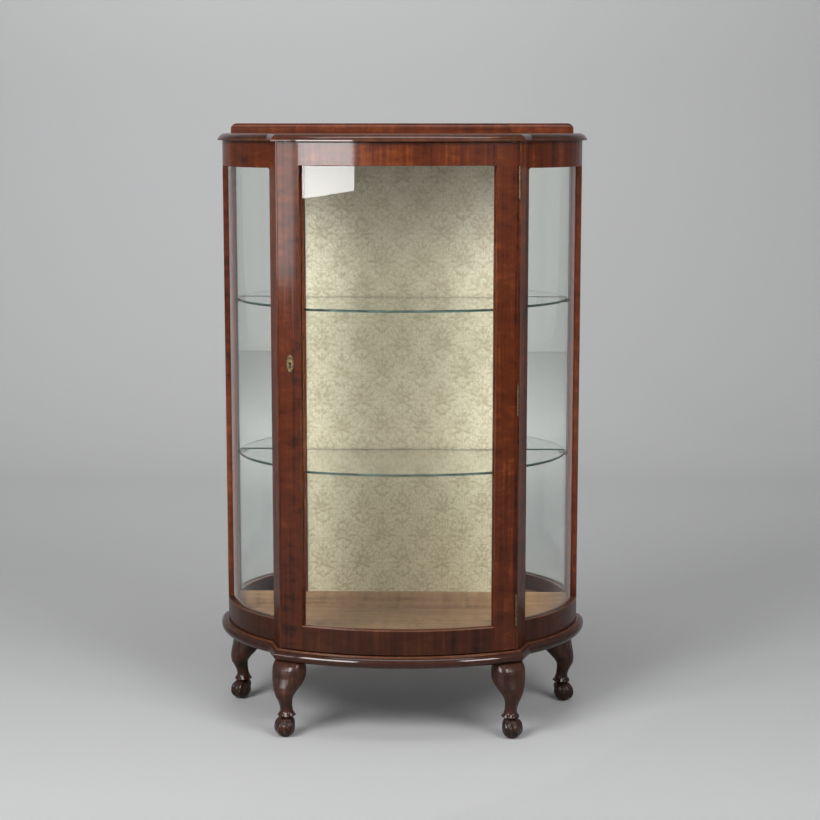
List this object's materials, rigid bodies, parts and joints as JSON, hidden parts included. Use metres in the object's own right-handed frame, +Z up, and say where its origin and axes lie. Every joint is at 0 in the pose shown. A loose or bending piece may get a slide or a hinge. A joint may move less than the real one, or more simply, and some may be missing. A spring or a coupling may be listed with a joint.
{
  "type": "china display cabinet",
  "caption": "Display cabinet with a bowed glass door, quarter-round bent glass sides, glass shelves, a mirror and damask back, and short cabriole legs.",
  "frame": {"origin": "on the floor, under the middle of the cabinet's overall box", "axes": "+Z up, the door faces -Y, +X to the right of someone who faces the door"},
  "size_m": [0.77, 0.357, 1.21],
  "materials": {
    "mahogany": "french polished mahogany veneer",
    "dark_wood": "dark stained softwood",
    "floor_wood": "polished, lighter brown",
    "plywood": "bare plywood",
    "brass": "aged brass",
    "steel": "dull steel",
    "glass": "clear bent and flat sheet glass",
    "mirror": "silvered glass",
    "damask": "woven damask in cream and olive"
  },
  "bodies": {
    "cabinet": {"top_board": "mahogany", "top_moulding_front": "mahogany", "top_moulding_left": "mahogany", "top_moulding_right": "mahogany", "gallery_middle": "mahogany", "gallery_left": "mahogany", "gallery_right": "mahogany", "frieze_left": "mahogany", "frieze_right": "mahogany", "top_rail_front": "dark_wood", "front_stile_left": "mahogany", "front_stile_right": "mahogany", "rear_post_left": "mahogany", "rear_post_right": "mahogany", "side_rail_left": "mahogany", "side_rail_right": "mahogany", "side_glass_left": "glass", "side_glass_right": "glass", "side_bead_left": "mahogany", "side_bead_right": "mahogany", "floor_board": "floor_wood", "base_board": "dark_wood", "base_moulding_front": "mahogany", "base_moulding_left": "mahogany", "base_moulding_right": "mahogany", "back_panel": "plywood", "back_top_rail": "dark_wood", "back_skirting": "floor_wood", "back_screws": "steel", "mirror_left": "mirror", "mirror_right": "mirror", "lining_panel": "damask", "lining_bead_left": "mahogany", "lining_bead_right": "mahogany", "lower_shelf": "glass", "upper_shelf": "glass", "shelf_studs": "brass", "keep_plate": "brass", "hinge_leaves_frame": "brass", "hinge_pins": "brass", "frame_screws": "steel", "leg_front_left": "mahogany", "leg_front_right": "mahogany", "leg_rear_left": "mahogany", "leg_rear_right": "mahogany"},
    "door": {"door_stile_lock": "mahogany", "door_stile_hinge": "mahogany", "door_rail_top": "mahogany", "door_rail_bottom": "mahogany", "door_glass": "glass", "door_bead": "mahogany", "escutcheon": "brass", "lock_case": "steel", "hinge_leaves_door": "brass", "door_screws": "steel"},
    "bolt": {"lock_bolt": "brass"}
  },
  "joints": [
    {"name": "door_hinge", "type": "hinge", "parent": "cabinet", "child": "door", "pos_m": [0.23347, -0.11153, 0.676], "axis": [0, 0, 1], "range_deg": [0, 110]},
    {"name": "bolt_slide", "type": "slide", "parent": "door", "child": "bolt", "axis": [-0.8989, 0.4382, 0], "range_m": [0, 0.006]}
  ]
}
